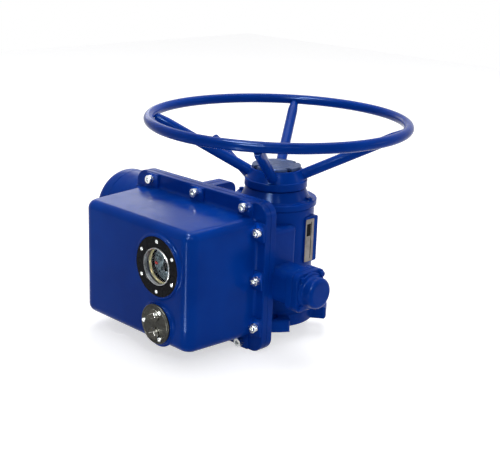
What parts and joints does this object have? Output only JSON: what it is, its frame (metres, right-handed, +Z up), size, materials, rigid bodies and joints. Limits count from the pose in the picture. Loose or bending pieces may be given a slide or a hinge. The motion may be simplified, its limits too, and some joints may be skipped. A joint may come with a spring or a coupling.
{
  "type": "electric valve actuator",
  "caption": "Multi-turn electric valve actuator: side motor, worm gear column on a valve flange, flanged control box with window and selectors, top handwheel and changeover lever.",
  "frame": {"origin": "centre of the valve flange's mounting face, on the output sleeve's axis", "axes": "+Z up along the output sleeve to the handwheel; -Y towards the control box's front; motor towards -X"},
  "size_m": [0.5699, 0.4306, 0.3347],
  "materials": {
    "body_paint": "glossy cobalt-blue enamel on cast metal",
    "wheel_paint": "glossy cobalt-blue enamel on steel tube and bar",
    "zinc_screws": "bright zinc plate",
    "black_screws": "black oxide under blue overspray",
    "steel": "machined, oiled",
    "bronze": "machined bronze, satin",
    "windings": "varnished copper windings on laminations",
    "rubber": "matt black sheet",
    "black_ring": "satin black anodised",
    "window_glass": "clear toughened glass",
    "dial_enamel": "pale grey enamel with dark marks",
    "pointer_enamel": "dark enamel",
    "dark_stainless": "dark turned stainless, polished edges",
    "nameplate": "bare etched aluminium, no marking",
    "cap_metal": "grey zinc-plated, satin",
    "black_plastic": "moulded, matt",
    "pale_plastic": "moulded, matt cream"
  },
  "bodies": {
    "body": {"housing": "body_paint", "top_cover": "body_paint", "top_cover_screw_1": "black_screws", "top_cover_screw_2": "black_screws", "top_cover_screw_3": "black_screws", "top_cover_screw_4": "black_screws", "cover": "body_paint", "cover_gasket": "rubber", "cover_screw_1": "zinc_screws", "cover_screw_2": "zinc_screws", "cover_screw_3": "zinc_screws", "cover_screw_4": "zinc_screws", "cover_screw_5": "zinc_screws", "cover_screw_6": "zinc_screws", "cover_screw_7": "zinc_screws", "cover_screw_8": "zinc_screws", "cover_screw_9": "zinc_screws", "cover_screw_10": "zinc_screws", "cover_screw_11": "zinc_screws", "cover_screw_12": "zinc_screws", "window_ring": "black_ring", "window_glass": "window_glass", "dial": "dial_enamel", "control_plate": "dark_stainless", "selector_switch": "black_plastic", "mounting_plate": "steel", "travel_switch": "black_plastic", "torque_switch": "black_plastic", "contactor": "black_plastic", "terminal_block": "pale_plastic", "motor_body": "body_paint", "motor_end_cover": "body_paint", "motor_stator": "windings", "motor_bearing_front": "steel", "motor_bearing_rear": "steel", "worm_bearing_inner": "steel", "worm_bearing_outer": "steel", "worm_end_cap": "body_paint", "sleeve_bearing_lower": "steel", "sleeve_bearing_upper": "steel", "lever_pin": "steel", "nameplate": "nameplate", "cable_entry_plug_1": "body_paint", "cable_entry_plug_2": "body_paint"},
    "handwheel": {"handwheel_rim": "wheel_paint", "handwheel_spoke_1": "wheel_paint", "handwheel_spoke_2": "wheel_paint", "handwheel_spoke_3": "wheel_paint", "handwheel_spoke_4": "wheel_paint", "handwheel_hub": "wheel_paint", "stem_cap": "cap_metal"},
    "output": {"worm_wheel": "bronze", "output_sleeve": "steel"},
    "worm": {"worm_shaft": "steel", "spur_gear": "steel"},
    "rotor": {"motor_rotor": "steel"},
    "indicator": {"pointer": "pointer_enamel"},
    "lever": {"changeover_lever": "wheel_paint"},
    "mode_selector": {"mode_knob": "dark_stainless"},
    "command_selector": {"command_knob": "dark_stainless"}
  },
  "joints": [
    {"name": "handwheel_spin", "type": "hinge", "parent": "body", "child": "handwheel", "pos_m": [0, 0, 0.303], "axis": [0, 0, 1], "continuous": true},
    {"name": "rotor_spin", "type": "hinge", "parent": "body", "child": "rotor", "pos_m": [-0.25, 0.00243, 0.0946], "axis": [1, 0, 0], "continuous": true},
    {"name": "worm_spin", "type": "hinge", "parent": "body", "child": "worm", "pos_m": [0, -0.048, 0.08], "axis": [1, 0, 0], "continuous": true},
    {"name": "output_spin", "type": "hinge", "parent": "body", "child": "output", "pos_m": [0, 0, 0.08], "axis": [0, 0, 1], "continuous": true},
    {"name": "pointer_turn", "type": "hinge", "parent": "body", "child": "indicator", "pos_m": [-0.0165, -0.2, 0.1185], "axis": [0, -1, 0], "continuous": true},
    {"name": "lever_swing", "type": "hinge", "parent": "body", "child": "lever", "pos_m": [-0.05406, 0.00692, 0.1983], "axis": [-0.1271, -0.9919, 0], "range_deg": [0, 20]},
    {"name": "mode_knob_turn", "type": "hinge", "parent": "body", "child": "mode_selector", "pos_m": [-0.0165, -0.225, 0.047], "axis": [0, -1, 0], "range_deg": [-45, 45]},
    {"name": "command_knob_turn", "type": "hinge", "parent": "body", "child": "command_selector", "pos_m": [-0.0165, -0.225, 0.019], "axis": [0, -1, 0], "range_deg": [-45, 45]}
  ],
  "couplings": [
    {"joint": "worm_spin", "follows": "rotor_spin", "ratio": -0.66667},
    {"joint": "output_spin", "follows": "rotor_spin", "ratio": 0.019608},
    {"joint": "pointer_turn", "follows": "rotor_spin", "ratio": 0.00098039}
  ]
}
